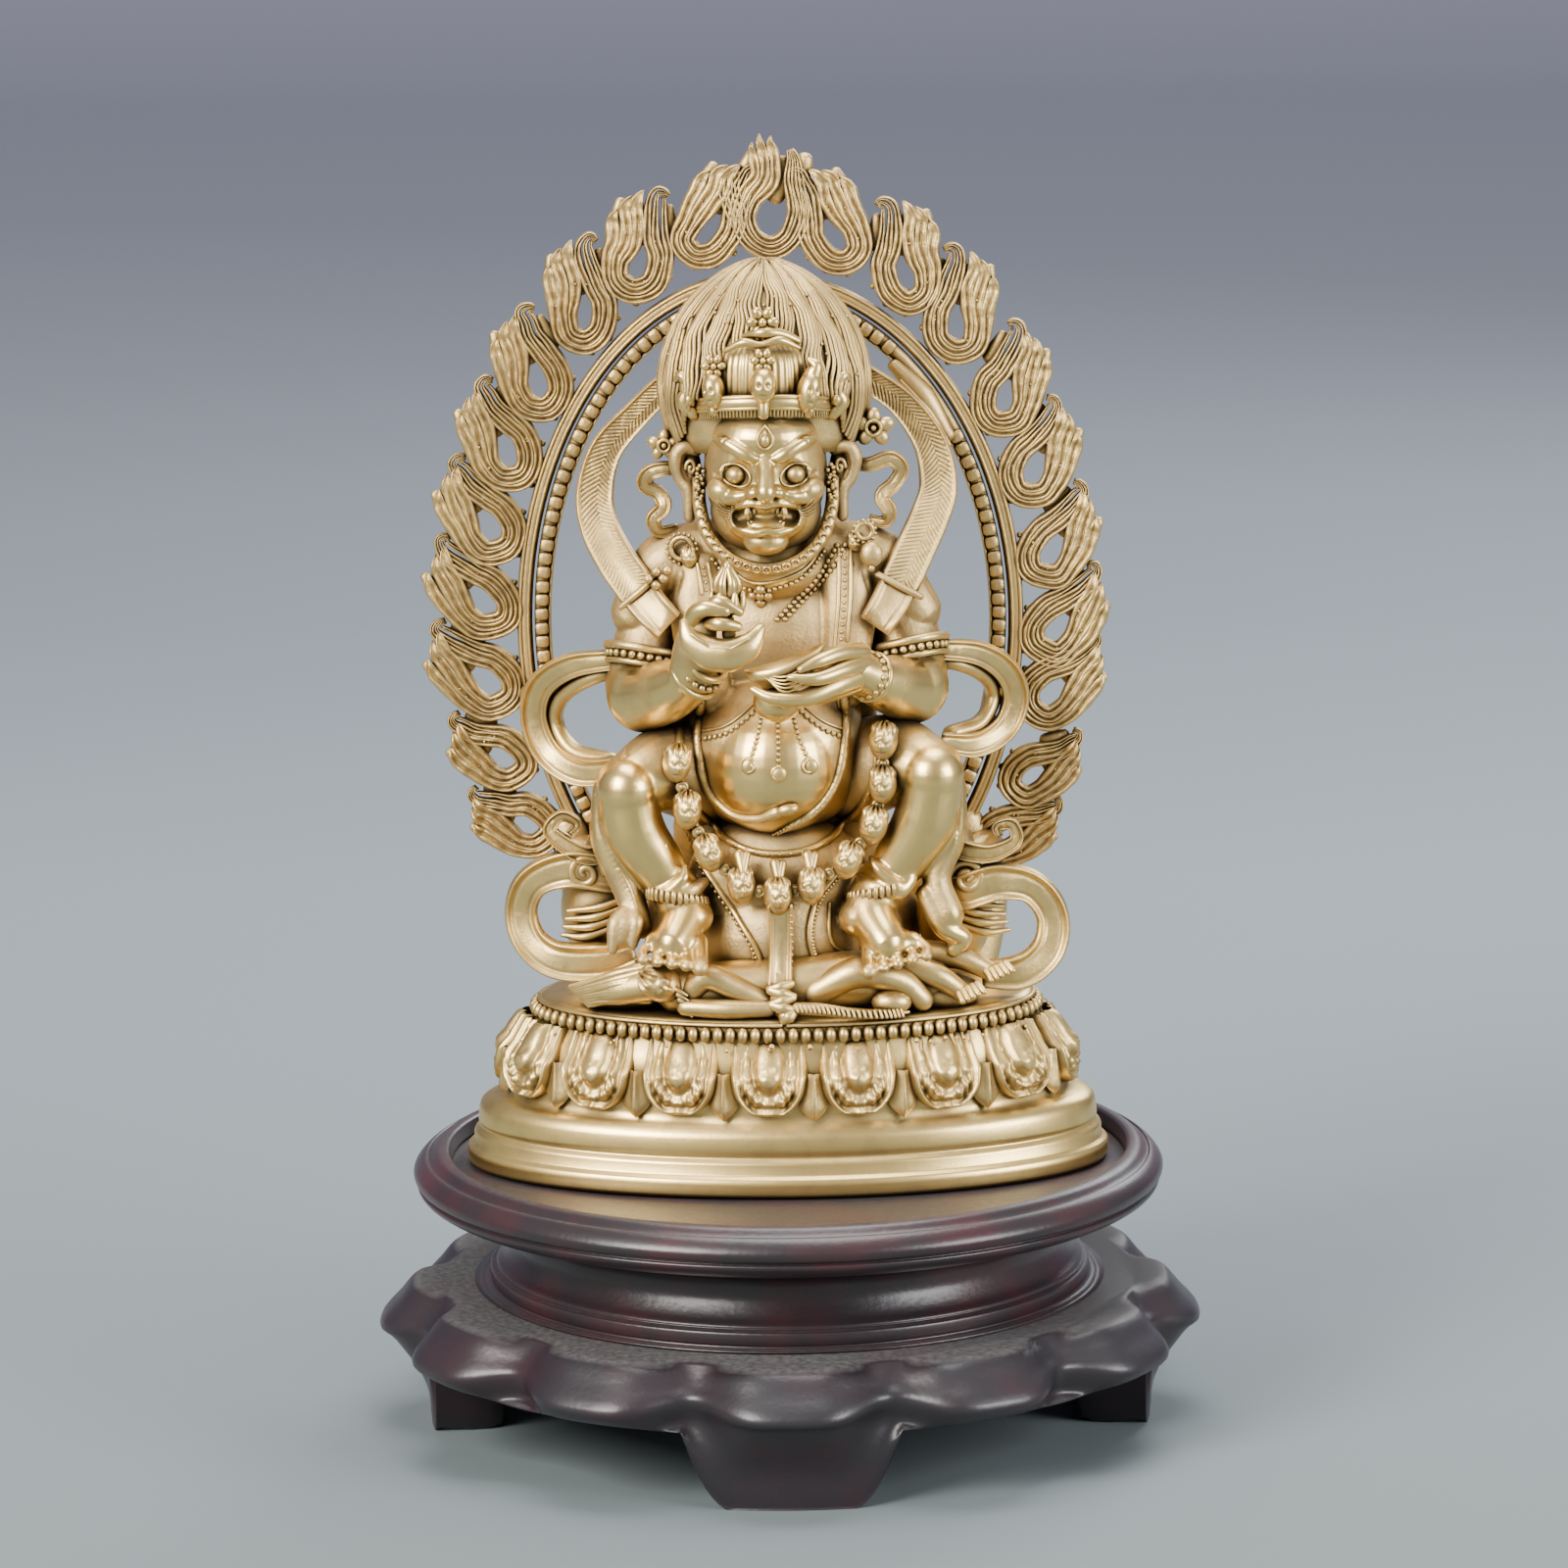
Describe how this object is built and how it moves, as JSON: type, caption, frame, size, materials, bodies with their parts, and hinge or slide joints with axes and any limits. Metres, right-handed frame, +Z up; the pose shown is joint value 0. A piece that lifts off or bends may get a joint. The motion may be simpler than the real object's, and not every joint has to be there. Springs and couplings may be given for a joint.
{
  "type": "cast figure on a wood stand",
  "caption": "Cast brass guardian deity squatting before a flame aureole on an oval lotus base, resting on a round wood stand with a lobed foot.",
  "frame": {"origin": "centre of the floor footprint, under the middle of the stand", "axes": "+Z up; the deity faces -Y; +X is the viewer's right"},
  "size_m": [0.1408, 0.1408, 0.2198],
  "materials": {
    "brass": "cast, partly polished, dark in the recesses",
    "tray_wood": "dark red satin lacquer",
    "foot_wood": "dark satin lacquer, dusty top"
  },
  "bodies": {
    "root": {"cast_figure": "brass", "stand_tray": "tray_wood", "stand_foot": "foot_wood"}
  },
  "joints": []
}
